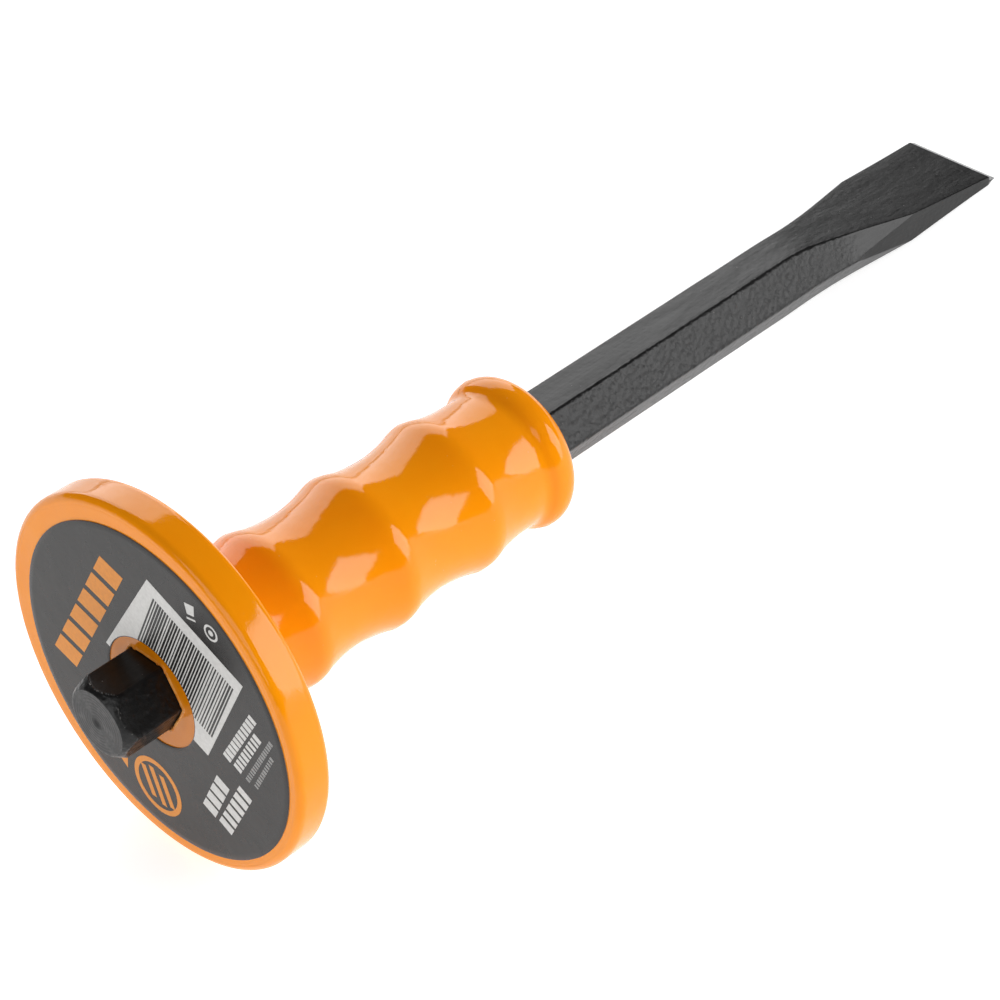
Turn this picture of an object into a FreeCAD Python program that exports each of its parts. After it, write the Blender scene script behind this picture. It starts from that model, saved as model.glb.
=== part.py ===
import FreeCAD, Part
import math
import os

from FreeCAD import Placement, Rotation, Vector

# Guarded cold chisel: a flat-bladed chisel forged from hexagon bar, a one-piece soft
# plastic hand guard (disc and finger-grooved sleeve) pushed over its head end, and a ring
# label stuck on the disc's struck side.
#
# Everything is drawn along the tool's own axis: X runs from the head to the cutting edge
# with x = 0 on the disc's front face, and Z is the blade's upper side. The finished pieces
# are then laid on the bench, where the tool rests on the disc's rim and on its blade.
# Sizes are in millimetres, angles in degrees.

# Steel chisel
overall_length = 300.0       # struck face to cutting edge
bar_width = 18.0             # hexagon bar, across its flats
bar_corner_radius = 1.2      # rolled corners of the bar
head_protrusion = 15.2       # head standing out of the disc
struck_face_inset = 0.6      # its round flat, inside the circle that touches the flats
head_chamfer_angle = 34.0    # from the tool's axis

blade_length = 72.0          # forged part, from the bar to the cutting edge
edge_width = 27.0            # length of the cutting edge
blade_end_thickness = 2.7    # where the ground bevels start
bevel_angle = 60.0           # between the two ground bevels
blade_hollow = 0.5           # how far the forged faces sag below a straight line
shoulder_blend = 90.0        # radius from the bar's flats into the forged faces
flare_run = 22.0             # length over which the bar's corners curl outwards
flare_slope = 0.14           # sideways spread of the corners beyond that run
trim_length = 52.0           # ground sides, measured back from the cutting edge
trim_root_margin = 0.7       # ground sides at their root, outside the bar's corner lines
wheel_radius = 25.0          # run-out of the grinding wheel behind them
wheel_run_out = 30.0         # turn of that run-out

# Hand guard
disc_radius = 47.0
disc_thickness = 9.3
disc_rim_radius = 1.9        # rounding of both rim edges
neck_fillet = 5.0            # sleeve into the back of the disc
guard_length = 118.3         # disc face to the sleeve's end
ridge_radius = 19.5          # sleeve over a ridge between two fingers
groove_depth = 2.1           # finger groove below the ridges
finger_pitch = 27.3
first_ridge = 34.2           # disc face to the first ridge
ridge_rounding = 8.0
bead_rise = 2.3              # bead at the sleeve's end, above the groove floor
bead_rounding = 4.8
bead_hollow = 4.0            # rounding from the last groove into the bead
end_dome = 2.0               # how far the sleeve's end face stands out of the bead
end_face_margin = 1.8        # flat around the bore's corners at the sleeve's end
bore_clearance = 0.0         # push fit: the bore's flats touch the bar's

# Label
label_border = 4.8           # disc left bare around the label
label_hole_margin = 3.5      # disc left bare around the bar's corners
label_thickness = 0.25
label_shift = (-1.5, -0.5)   # Y and Z: stuck on by hand, a little off the disc's centre
label_hole_shift = (-0.2, -1.2)

# Worked out from the sizes above
half_bar = bar_width / 2.0
half_corner = half_bar / math.cos(math.radians(30.0))
half_end = blade_end_thickness / 2.0
head_x = -head_protrusion
tip_x = overall_length - head_protrusion
blade_x = tip_x - blade_length
bevel_x = tip_x - half_end / math.tan(math.radians(bevel_angle / 2.0))
groove_floor = ridge_radius - groove_depth
struck_face_radius = half_bar - struck_face_inset
trim_root = half_corner + trim_root_margin
outside = 2.0 * (edge_width + bar_width)   # well clear of the steel on every side
bead_x = guard_length - end_dome - bead_rounding
bead_z = groove_floor + bead_rise - bead_rounding
end_face_radius = half_corner + end_face_margin
label_radius = disc_radius - label_border
label_hole_radius = half_corner + label_hole_margin


def edge_between(start, end):
    return Part.LineSegment(start, end).toShape()


def edges_through(points):
    return [edge_between(start, end) for start, end in zip(points, points[1:])]


def arc_about(centre, start, end):
    """The shorter arc from start to end about a centre."""
    towards_middle = (start - centre) + (end - centre)
    towards_middle.normalize()
    middle = centre + towards_middle * (start - centre).Length
    return Part.Arc(start, middle, end).toShape()


def face_within(edges):
    return Part.Face(Part.Wire(Part.__sortEdges__(edges)))


def turned(edges):
    """A solid of revolution about the tool's axis."""
    return face_within(edges).revolve(Vector(0, 0, 0), Vector(1, 0, 0), 360)


def corner_outline():
    """Plan of the steel up to one corner line, which curls outwards into the blade."""
    turn = math.atan(flare_slope)
    radius = flare_run / math.sin(turn)
    curl_start = Vector(blade_x, half_corner, 0.0)
    curl_centre = curl_start + Vector(0.0, radius, 0.0)
    curl_end = curl_centre + Vector(math.sin(turn), -math.cos(turn), 0.0) * radius
    tip_y = curl_end.y + (tip_x - curl_end.x) * flare_slope
    edges = edges_through([curl_end, Vector(tip_x, tip_y, 0.0), Vector(tip_x, -outside, 0.0),
                           Vector(head_x, -outside, 0.0), Vector(head_x, half_corner, 0.0),
                           curl_start])
    edges.append(arc_about(curl_centre, curl_start, curl_end))
    return face_within(edges)


def hexagon_flanks():
    """The bar's four sloping flanks, flaring towards the cutting edge."""
    rise = half_bar + 1.0
    left = corner_outline().extrude(Vector(0.0, -rise * math.tan(math.radians(30.0)), rise))
    right = left.mirror(Vector(0, 0, 0), Vector(0, 1, 0))
    upper = left.common(right)
    lower = upper.mirror(Vector(0, 0, 0), Vector(0, 0, 1))
    return upper.fuse(lower).removeSplitter()


def side_profile():
    """Elevation of the steel: parallel flats, hollow forged faces and two ground bevels."""
    edges = [edge_between(Vector(head_x, 0.0, -half_bar), Vector(head_x, 0.0, half_bar))]
    for side in (1.0, -1.0):
        flat_end = Vector(blade_x, 0.0, side * half_bar)
        bevel_start = Vector(bevel_x, 0.0, side * half_end)
        chord = bevel_start - flat_end
        inwards = Vector(side * chord.z, 0.0, -side * chord.x)
        inwards.normalize()
        sagging = (flat_end + bevel_start) * 0.5 + inwards * blade_hollow
        edges.append(edge_between(Vector(head_x, 0.0, side * half_bar), flat_end))
        edges.append(Part.Arc(flat_end, sagging, bevel_start).toShape())
        edges.append(edge_between(bevel_start, Vector(tip_x, 0.0, 0.0)))
    outline = face_within(edges)
    outline.translate(Vector(0.0, -outside, 0.0))
    slab = outline.extrude(Vector(0.0, 2.0 * outside, 0.0))
    creases = [edge for edge in slab.Edges if abs(edge.CenterOfMass.x - blade_x) < 0.01]
    return slab.makeFillet(shoulder_blend, creases)


def trimmed_sides():
    """Plan of the ground sides: spreading to the edge's ends, the wheel's run-out behind."""
    root_x = tip_x - trim_length
    slope = math.atan((edge_width / 2.0 - trim_root) / trim_length)
    turn = math.radians(wheel_run_out)
    edges = [edge_between(Vector(head_x, -outside, 0.0), Vector(head_x, outside, 0.0))]
    for side in (1.0, -1.0):
        forwards = Vector(math.cos(slope), side * math.sin(slope), 0.0)
        outwards = Vector(-math.sin(slope), side * math.cos(slope), 0.0)
        root = Vector(root_x, side * trim_root, 0.0)
        centre = root + outwards * wheel_radius
        lift = (outwards * math.cos(turn) + forwards * math.sin(turn)) * wheel_radius
        leaves = centre - lift
        edges += edges_through([Vector(tip_x, 0.0, 0.0), Vector(tip_x, side * edge_width / 2.0, 0.0),
                                root])
        edges.append(arc_about(centre, root, leaves))
        edges += edges_through([leaves, Vector(leaves.x, side * outside, 0.0),
                                Vector(head_x, side * outside, 0.0)])
    outline = face_within(edges)
    outline.translate(Vector(0.0, 0.0, -outside))
    return outline.extrude(Vector(0.0, 0.0, 2.0 * outside))


def head_cone():
    """A cone over the struck end that opens clear of the blade."""
    taper = (outside - struck_face_radius) / math.tan(math.radians(head_chamfer_angle))
    return turned(edges_through([
        Vector(head_x, 0.0, 0.0), Vector(head_x, 0.0, struck_face_radius),
        Vector(head_x + taper, 0.0, outside), Vector(tip_x + outside, 0.0, outside),
        Vector(tip_x + outside, 0.0, 0.0), Vector(head_x, 0.0, 0.0)]))


def chisel():
    """One forging: struck head, hexagon bar and flat blade."""
    steel = hexagon_flanks().common(side_profile()).common(trimmed_sides()).removeSplitter()
    bar_length = blade_x - head_x
    corners = [edge for edge in steel.Edges if edge.BoundBox.XLength > bar_length / 2.0]
    return steel.makeFillet(bar_corner_radius, corners).common(head_cone())


def hexagon_bar(across_flats, corner_radius, start, end):
    """A length of hexagon bar with rounded corners and two flats facing up and down."""
    corner = across_flats / 2.0 / math.cos(math.radians(30.0))
    turns = [math.radians(60.0 * step) for step in range(7)]
    outline = [Vector(start, corner * math.cos(turn), corner * math.sin(turn)) for turn in turns]
    bar = Part.Face(Part.makePolygon(outline)).extrude(Vector(end - start, 0.0, 0.0))
    lengthwise = [edge for edge in bar.Edges if edge.BoundBox.XLength > (end - start) / 2.0]
    return bar.makeFillet(corner_radius, lengthwise)


def bead_hollow_centre():
    """Centre of the rounding that touches both the groove floor and the bead."""
    z = groove_floor + bead_hollow
    run = math.sqrt((bead_hollow + bead_rounding) ** 2 - (z - bead_z) ** 2)
    return Vector(bead_x - run, 0.0, z)


def finger_grooves():
    """As many ridges as the sleeve has room for, with grooves between, as tangent arcs.

    Returns the arcs and the bottom of the last groove.
    """
    half_pitch = finger_pitch / 2.0
    room = bead_hollow_centre().x - half_pitch - first_ridge
    ridge_count = 1 + math.floor(room / finger_pitch)
    both_roundings = (half_pitch ** 2 + groove_depth ** 2) / (2.0 * groove_depth)
    groove_rounding = both_roundings - ridge_rounding
    edges = []
    for ridge in range(ridge_count):
        x = first_ridge + ridge * finger_pitch
        ridge_centre = Vector(x, 0.0, ridge_radius - ridge_rounding)
        meets = []
        for side in (-1.0, 1.0):
            groove_bottom = Vector(x + side * half_pitch, 0.0, groove_floor)
            groove_centre = groove_bottom + Vector(0.0, 0.0, groove_rounding)
            across = groove_centre - ridge_centre
            meets.append(ridge_centre + across * (ridge_rounding / both_roundings))
            edges.append(arc_about(groove_centre, groove_bottom, meets[-1]))
        edges.append(arc_about(ridge_centre, meets[0], meets[1]))
    return edges, Vector(first_ridge + (ridge_count - 0.5) * finger_pitch, 0.0, groove_floor)


def sleeve_end(last_groove):
    """From the last groove over the bead and the domed end face to the axis."""
    bead_centre = Vector(bead_x, 0.0, bead_z)
    hollow_centre = bead_hollow_centre()
    hollow_start = Vector(hollow_centre.x, 0.0, groove_floor)
    share = bead_hollow / (bead_hollow + bead_rounding)
    meet = hollow_centre + (bead_centre - hollow_centre) * share
    bead_top = bead_centre + Vector(0.0, 0.0, bead_rounding)
    bead_end = bead_centre + Vector(bead_rounding, 0.0, 0.0)
    face_edge = Vector(guard_length, 0.0, end_face_radius)
    bulge = Vector(guard_length - end_dome * 0.4, 0.0, (bead_end.z + end_face_radius) / 2.0)
    return [edge_between(last_groove, hollow_start),
            arc_about(hollow_centre, hollow_start, meet),
            arc_about(bead_centre, meet, bead_top),
            arc_about(bead_centre, bead_top, bead_end),
            Part.Arc(bead_end, bulge, face_edge).toShape(),
            edge_between(face_edge, Vector(guard_length, 0.0, 0.0))]


def hand_guard():
    """One moulding: flange disc and sleeve with finger grooves, bored to fit the bar."""
    grooves, last_groove = finger_grooves()
    neck = Vector(disc_thickness, 0.0, groove_floor)
    first_groove = Vector(first_ridge - finger_pitch / 2.0, 0.0, groove_floor)
    edges = edges_through([Vector(guard_length, 0.0, 0.0), Vector(0.0, 0.0, 0.0),
                           Vector(0.0, 0.0, disc_radius),
                           Vector(disc_thickness, 0.0, disc_radius), neck, first_groove])
    moulding = turned(edges + grooves + sleeve_end(last_groove))

    def is_ring(edge, x, radius):
        box = edge.BoundBox
        return box.XLength < 0.01 and abs(box.XMin - x) < 0.01 and abs(box.ZMax - radius) < 0.01

    rims = [edge for edge in moulding.Edges
            if is_ring(edge, 0.0, disc_radius) or is_ring(edge, disc_thickness, disc_radius)]
    moulding = moulding.makeFillet(disc_rim_radius, rims)
    necks = [edge for edge in moulding.Edges if is_ring(edge, disc_thickness, groove_floor)]
    moulding = moulding.makeFillet(neck_fillet, necks)
    bore = hexagon_bar(bar_width + 2.0 * bore_clearance, bar_corner_radius, head_x, tip_x)
    return moulding.cut(bore)


def face_label():
    """A thin ring stuck on the disc's front face."""
    forwards = Vector(1, 0, 0)
    ring = Part.makeCylinder(label_radius, label_thickness,
                             Vector(-label_thickness, *label_shift), forwards)
    hole = Part.makeCylinder(label_hole_radius, 3.0 * label_thickness,
                             Vector(-2.0 * label_thickness, *label_hole_shift), forwards)
    return ring.cut(hole)


def resting_place():
    """The tool lying on the bench: disc rim and blade on z = 0, centred in X and Y."""
    rim_x = disc_thickness - disc_rim_radius
    rim_z = disc_rim_radius - disc_radius
    run = bevel_x - rim_x
    rise = -half_end - rim_z
    tilt = math.atan2(rise, run) + math.asin(disc_rim_radius / math.hypot(run, rise))
    struck_end = head_x * math.cos(tilt) - struck_face_radius * math.sin(tilt)
    edge_end = tip_x * math.cos(tilt)
    lift = bevel_x * math.sin(tilt) + half_end * math.cos(tilt)
    centred = Vector(-(struck_end + edge_end) / 2.0, 0.0, lift)
    return Placement(centred, Rotation(Vector(0, 1, 0), math.degrees(tilt)))


def main():
    os.makedirs("parts", exist_ok=True)
    place = resting_place()
    for node, build in (("chisel", chisel), ("hand_guard", hand_guard), ("face_label", face_label)):
        piece = build()
        piece.transformShape(place.toMatrix())
        piece.exportStep("parts/" + node + ".step")
        print(node, "valid" if piece.isValid() else "NOT VALID", len(piece.Solids), "solid")
    print("placed at", place.Base, "tilted", round(math.degrees(place.Rotation.Angle), 3))


main()
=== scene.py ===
import math

import bmesh
import bpy
from mathutils import Matrix, Vector, noise


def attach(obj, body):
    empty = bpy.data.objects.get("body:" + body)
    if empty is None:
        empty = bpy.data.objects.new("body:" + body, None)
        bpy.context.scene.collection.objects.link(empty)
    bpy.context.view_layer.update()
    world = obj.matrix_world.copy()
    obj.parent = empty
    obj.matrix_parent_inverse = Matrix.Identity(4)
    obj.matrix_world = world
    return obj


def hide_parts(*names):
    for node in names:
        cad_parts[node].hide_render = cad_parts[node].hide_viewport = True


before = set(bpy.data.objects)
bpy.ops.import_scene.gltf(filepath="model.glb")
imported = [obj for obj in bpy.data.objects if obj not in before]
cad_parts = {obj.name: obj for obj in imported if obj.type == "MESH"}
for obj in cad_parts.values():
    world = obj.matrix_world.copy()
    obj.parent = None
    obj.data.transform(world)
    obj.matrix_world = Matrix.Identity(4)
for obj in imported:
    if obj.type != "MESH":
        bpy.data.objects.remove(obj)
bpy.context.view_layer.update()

mm = 0.001
# sizes are in millimetres and degrees; x runs from the disc's front face to the cutting edge


class Wire:
    # an output socket, so that masks and heights can be written as sums
    def __init__(self, socket):
        self.socket = socket
        self.tree = socket.id_data

    def node(self, kind, settings=None, sockets=None, out=0):
        made = self.tree.nodes.new(kind)
        for name, value in (settings or {}).items():
            setattr(made, name, value)
        for key, value in (sockets or {}).items():
            if isinstance(value, Wire):
                self.tree.links.new(value.socket, made.inputs[key])
            else:
                made.inputs[key].default_value = value
        return Wire(made.outputs[out])

    def sum(self, operation, first, second=0.0):
        return self.node("ShaderNodeMath", {"operation": operation}, {0: first, 1: second})

    def __add__(self, other): return self.sum("ADD", self, other)
    def __radd__(self, other): return self.sum("ADD", other, self)
    def __sub__(self, other): return self.sum("SUBTRACT", self, other)
    def __rsub__(self, other): return self.sum("SUBTRACT", other, self)
    def __mul__(self, other): return self.sum("MULTIPLY", self, other)
    def __rmul__(self, other): return self.sum("MULTIPLY", other, self)
    def __truediv__(self, other): return self.sum("DIVIDE", self, other)
    def __rtruediv__(self, other): return self.sum("DIVIDE", other, self)
    def __pow__(self, other): return self.sum("POWER", self, other)
    def __lt__(self, other): return self.sum("LESS_THAN", self, other)
    def __abs__(self): return self.sum("ABSOLUTE", self)

    def least(self, other): return self.sum("MINIMUM", self, other)
    def most(self, other): return self.sum("MAXIMUM", self, other)
    def root(self): return self.sum("SQRT", self)

    def part(self, axis):
        return self.node("ShaderNodeSeparateXYZ", None, {0: self}, axis)

    def fade(self, low, high):
        # 0 below low, 1 above high, and the other way round when low is above high
        return self.node("ShaderNodeMapRange", {"interpolation_type": "SMOOTHSTEP"},
                         {0: self, 1: low, 2: high, 3: 0.0, 4: 1.0})

    def blend(self, first, second):
        # this mask takes one tint to the other
        return self.node("ShaderNodeMix", {"data_type": "RGBA"}, {0: self, 6: first, 7: second}, 2)

    def grain(self, size, detail=2.0, roughness=0.5, stretch=(1.0, 1.0, 1.0)):
        # noise whose lumps are about size millimetres across, longer where stretch is large
        scaled = self.node("ShaderNodeVectorMath", {"operation": "DIVIDE"},
                           {0: self, 1: tuple(size * mm * s for s in stretch)})
        return self.node("ShaderNodeTexNoise", None,
                         {"Vector": scaled, "Scale": 1.0, "Detail": detail, "Roughness": roughness})

    def cells(self, size, feature="F1"):
        # distance to the nearest of scattered points about size millimetres apart
        scaled = self.node("ShaderNodeVectorMath", {"operation": "DIVIDE"}, {0: self, 1: (size * mm,) * 3})
        return self.node("ShaderNodeTexVoronoi", {"feature": feature}, {"Vector": scaled, "Scale": 1.0})

    def bump(self, depth):
        # this height, in shares of depth millimetres, as a normal
        return self.node("ShaderNodeBump", None, {"Height": self, "Strength": 1.0, "Distance": depth * mm})


def tint(red, green, blue):
    return (red, green, blue, 1.0)


def startFinish(name):
    # an empty material and the piece's own coordinates, turned to the tool's axis
    finish = bpy.data.materials.new(name)
    finish.use_nodes = True
    tree = finish.node_tree
    tree.nodes.clear()
    coordinates = Wire(tree.nodes.new("ShaderNodeTexCoord").outputs["Object"])
    turn = (0.0, lay["tilt"], 0.0)
    place = coordinates.node("ShaderNodeMapping", {"vector_type": "TEXTURE"},
                             {"Vector": coordinates, "Location": lay["base"], "Rotation": turn})
    return finish, place


def closeFinish(finish, varying, fixed):
    tree = finish.node_tree
    shader = tree.nodes.new("ShaderNodeBsdfPrincipled")
    for name, value in fixed.items():
        shader.inputs[name].default_value = value
    for name, wire in varying.items():
        tree.links.new(wire.socket, shader.inputs[name])
    output = tree.nodes.new("ShaderNodeOutputMaterial")
    tree.links.new(shader.outputs[0], output.inputs["Surface"])
    return finish


def attribute(wire, name):
    return wire.node("ShaderNodeAttribute", {"attribute_name": name}, None, 2)


def makePiece(name, verts, faces, finishes, sharpAngle=40.0, faceFinish=None, paints=None):
    # verts in millimetres along the tool's axis; the mesh is laid on the bench with the tool
    mesh = bpy.data.meshes.new(name)
    mesh.from_pydata([Vector(v) * mm for v in verts], [], faces)
    for finish in finishes:
        mesh.materials.append(finish)
    if faceFinish:
        mesh.polygons.foreach_set("material_index", faceFinish)
    for label, values in (paints or {}).items():
        mesh.attributes.new(label, "FLOAT", "POINT").data.foreach_set("value", values)
    tidyFaces(mesh, sharpAngle)
    mesh.transform(lay["matrix"])
    return linkPiece(name, mesh)


def faceOutward(mesh):
    work = bmesh.new()
    work.from_mesh(mesh)
    bmesh.ops.recalc_face_normals(work, faces=work.faces)
    work.to_mesh(mesh)
    work.free()


def tidyFaces(mesh, sharpAngle):
    faceOutward(mesh)
    mesh.shade_smooth()
    mesh.set_sharp_from_angle(angle=math.radians(sharpAngle))


def linkPiece(name, mesh):
    piece = bpy.data.objects.new(name, mesh)
    bpy.context.scene.collection.objects.link(piece)
    return piece


def skin(rings):
    # quads between neighbouring closed rings of equal count
    faces = []
    count = len(rings[0])
    for row in range(len(rings) - 1):
        for i in range(count):
            j = (i + 1) % count
            near, far = row * count, (row + 1) * count
            faces.append((near + i, near + j, far + j, far + i))
    return faces


def smoothStep(value, low, high):
    t = min(max((value - low) / (high - low), 0.0), 1.0)
    return t * t * (3.0 - 2.0 * t)


def smoothLeast(first, second, blend):
    overlap = max(blend - abs(first - second), 0.0) / blend
    return min(first, second) - overlap * overlap * blend / 4.0


def arcPoints(centreX, centreR, radius, fromTurn, toTurn, steps):
    # points of an arc in the half section (along, out), turns in degrees from the axis
    points = []
    for i in range(steps + 1):
        turn = math.radians(fromTurn + (toTurn - fromTurn) * i / steps)
        points.append((centreX + radius * math.cos(turn), centreR + radius * math.sin(turn)))
    return points


def makeBlackPaint():
    # stoved black paint: orange-peel on the rolled flanks, smoother on the flats and the blade
    finish, place = startFinish("blackPaint")
    flank = attribute(place, "flank")
    wear = attribute(place, "wear")
    peel = place.cells(1.35, "SMOOTH_F1")
    pebbles = place.grain(0.5, 3.0, 0.6)
    scale = place.grain(7.0, 3.0, 0.55, (3.0, 1.0, 1.0))
    drag = place.grain(0.5, 2.0, 0.5, (26.0, 1.0, 1.0))
    specks = place.cells(2.1).fade(0.085, 0.04) * place.grain(3.0).fade(0.5, 0.62)
    chipped = (wear + place.grain(0.9, 4.0, 0.65) * 0.9 - 0.75).fade(0.28, 0.42)
    base = scale.fade(0.3, 0.7).blend(tint(0.0045, 0.0045, 0.0047), tint(0.0085, 0.0084, 0.0084))
    base = (specks * 0.7).blend(base, tint(0.21, 0.2, 0.19))
    base = chipped.blend(base, tint(0.16, 0.155, 0.15))
    roughness = 0.33 + 0.1 * (scale - 0.5) + 0.1 * (drag - 0.5) * (1 - flank) - 0.06 * chipped
    height = (0.12 + 0.88 * flank) * (peel * 0.7 + pebbles * 0.3) + (1 - flank) * 0.05 * drag
    height = height + 0.3 * specks + 0.4 * scale
    return closeFinish(finish, {"Base Color": base, "Roughness": roughness, "Metallic": 0.6 * chipped,
                                "Normal": height.bump(0.42)},
                       {"IOR": 1.38})


def makeStruckEnd():
    # the struck face: turned rings under thin paint, a darker centre and its small pit
    finish, place = startFinish("struckEnd")
    radius = (place.part(1) ** 2.0 + place.part(2) ** 2.0).root() * 1000.0
    wander = place.grain(4.0, 3.0)
    turned = radius * 7.5 + wander * 2.2
    rings = turned.node("ShaderNodeMath", {"operation": "SINE"}, {0: turned})
    rub = place.grain(1.6, 4.0, 0.6).fade(0.42, 0.72)
    centre = radius.fade(2.2, 0.9)
    base = rub.blend(tint(0.03, 0.029, 0.029), tint(0.062, 0.061, 0.06))
    base = centre.blend(base, tint(0.012, 0.012, 0.012))
    rubbedRim = radius.fade(7.4, 8.4) * place.grain(1.1, 3.0).fade(0.4, 0.7) * 0.8
    base = rubbedRim.blend(base, tint(0.13, 0.125, 0.12))
    roughness = 0.42 + 0.12 * wander + 0.1 * centre
    height = 0.28 * rings + 0.5 * place.grain(0.5, 3.0) + 0.25 * rub
    return closeFinish(finish, {"Base Color": base, "Roughness": roughness, "Normal": height.bump(0.05)},
                       {"IOR": 1.5, "Metallic": 0.15})


def makeGroundSteel():
    # bright ground bevels with the wheel's lines running back from the edge
    finish, place = startFinish("groundSteel")
    lines = place.grain(0.11, 3.0, 0.6, (40.0, 1.0, 1.0))
    broad = place.grain(2.0, 3.0, 0.5, (1.5, 1.0, 1.0))
    base = lines.fade(0.3, 0.75).blend(tint(0.17, 0.17, 0.175), tint(0.36, 0.36, 0.36))
    base = (broad.fade(0.58, 0.75) * 0.35).blend(base, tint(0.1, 0.098, 0.095))
    roughness = 0.34 + 0.18 * (broad - 0.5) + 0.12 * (lines - 0.5)
    height = lines * 0.7 + broad * 0.3
    return closeFinish(finish, {"Base Color": base, "Roughness": roughness, "Normal": height.bump(0.025)},
                       {"Metallic": 1.0})


def makeOrangeVinyl():
    # glossy dipped vinyl, painted duller and darker inside the label's hole as shade and reflection of the
    # black head, with a pale lip at the bore
    finish, place = startFinish("orangeVinyl")
    ring = attribute(place, "ring")
    lip = attribute(place, "lip")
    parting = attribute(place, "parting")
    flow = place.grain(16.0, 2.0, 0.5)
    cloud = place.grain(3.5, 4.0, 0.6)
    fine = place.grain(0.35, 2.0, 0.5)
    dust = place.cells(1.7).fade(0.07, 0.03) * place.grain(5.0).fade(0.52, 0.66)
    base = flow.fade(0.25, 0.75).blend(tint(0.95, 0.288, 0.0012), tint(0.97, 0.308, 0.0022))
    base = (cloud.fade(0.45, 0.8) * 0.25).blend(base, tint(0.95, 0.32, 0.004))
    # painted shade: the orange inside the label's hole is darkened for the black head's shadow and
    # reflection
    base = (ring * 0.85).blend(base, tint(0.55, 0.165, 0.001))
    base = (lip * (0.2 + 0.5 * cloud.fade(0.4, 0.6))).blend(base, tint(0.7, 0.36, 0.1))
    base = (parting * 0.25).blend(base, tint(0.66, 0.2, 0.008))
    base = (dust * 0.6).blend(base, tint(0.9, 0.62, 0.34))
    roughness = 0.045 + 0.05 * cloud + 0.03 * (fine - 0.5) + 0.2 * lip + 0.3 * dust
    height = 0.4 * flow + 0.08 * cloud + 0.012 * fine + 0.03 * dust
    return closeFinish(finish, {"Base Color": base, "Roughness": roughness, "Normal": height.bump(0.7)},
                       {"IOR": 1.36})


def makeLabelFilm():
    # printed charcoal film under a satin laminate, its cut edge a little paler
    finish, place = startFinish("labelFilm")
    edge = place.part(0).fade(-0.215 * mm, -0.12 * mm)
    cloud = place.grain(9.0, 3.0, 0.5)
    fine = place.grain(0.3, 2.0)
    scuffs = place.grain(0.22, 3.0, 0.6, (1.0, 30.0, 1.0)).fade(0.66, 0.8)
    base = cloud.fade(0.3, 0.7).blend(tint(0.0125, 0.0108, 0.01), tint(0.018, 0.0158, 0.0146))
    base = (scuffs * 0.18).blend(base, tint(0.12, 0.115, 0.11))
    base = (edge * 0.8).blend(base, tint(0.33, 0.29, 0.25))
    roughness = 0.27 + 0.1 * (cloud - 0.5) + 0.12 * scuffs
    height = 0.8 * cloud + 0.05 * fine
    return closeFinish(finish, {"Base Color": base, "Roughness": roughness, "Normal": height.bump(0.12)},
                       {"IOR": 1.38})


def makeInk(name, lightTint, darkTint, dullness):
    # screen-printed ink: faint mottle and a few missed spots
    finish, place = startFinish(name)
    mottle = place.grain(0.9, 4.0, 0.6)
    missed = place.cells(0.8).fade(0.09, 0.04) * place.grain(2.0).fade(0.5, 0.6)
    base = mottle.fade(0.3, 0.7).blend(darkTint, lightTint)
    base = (missed * 0.5).blend(base, tint(0.03, 0.028, 0.026))
    roughness = dullness + 0.12 * (mottle - 0.5)
    height = mottle * 0.4
    return closeFinish(finish, {"Base Color": base, "Roughness": roughness, "Normal": height.bump(0.02)},
                       {"IOR": 1.38})


def makeBenchTop():
    # pale, evenly lit bench
    finish, place = startFinish("benchTop")
    cloud = place.grain(60.0, 3.0)
    base = cloud.fade(0.2, 0.8).blend(tint(0.9, 0.9, 0.9), tint(0.93, 0.93, 0.93))
    return closeFinish(finish, {"Base Color": base, "Roughness": 0.7 + 0.1 * cloud,
                                "Normal": (place.grain(1.0) * 0.3).bump(0.05)},
                       {"Emission Color": tint(1.0, 1.0, 1.0), "Emission Strength": 0.62,
                        "Specular IOR Level": 0.2})


# the tool lies on the disc's rim and the blade, centred on the bench
def restingPlace(chisel, guard):
    halfEnd = chisel["edgeThickness"] / 2.0
    headX = -chisel["headStandOut"]
    tipX = chisel["length"] + headX
    bevelX = tipX - halfEnd / math.tan(math.radians(chisel["bevelAngle"] / 2.0))
    run = bevelX - (guard["discThickness"] - guard["rimRadius"])
    rise = -halfEnd - (guard["rimRadius"] - guard["discRadius"])
    tilt = math.atan2(rise, run) + math.asin(guard["rimRadius"] / math.hypot(run, rise))
    faceRadius = chisel["acrossFlats"] / 2.0 - chisel["faceInset"]
    struckEnd = headX * math.cos(tilt) - faceRadius * math.sin(tilt)
    middle = -(struckEnd + tipX * math.cos(tilt)) / 2.0
    lift = bevelX * math.sin(tilt) + halfEnd * math.cos(tilt)
    base = Vector((middle, 0.0, lift)) * mm
    return {"tilt": tilt, "base": base, "matrix": Matrix.Translation(base) @ Matrix.Rotation(tilt, 4, "Y"),
            "headX": headX, "tipX": tipX, "bevelX": bevelX}


chiselSizes = {
    "length": 300.0,
    "acrossFlats": 18.0,
    "barCorner": 1.2,
    "headStandOut": 15.2,
    "faceInset": 0.6,
    "headChamfer": 34.0,
    "faceEdge": 0.55,            # softened edge of the struck face
    "centrePit": 0.22,
    "bladeLength": 72.0,
    "edgeWidth": 27.0,
    "edgeThickness": 2.7,
    "edgeFlat": 0.12,            # what is left of the thickness at the very edge
    "bevelAngle": 60.0,
    "bladeHollow": 0.5,
    "shoulderBlend": 0.86,
    "flareRun": 22.0,
    "flareSlope": 0.14,
    "groundLength": 52.0,
    "groundRoot": 0.7,
    "wheelRadius": 25.0,
    "wheelTurn": 30.0,
    "bladeCorner": 0.4,
    "forgingWobble": 0.07,
    "step": 1.15,
}


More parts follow.
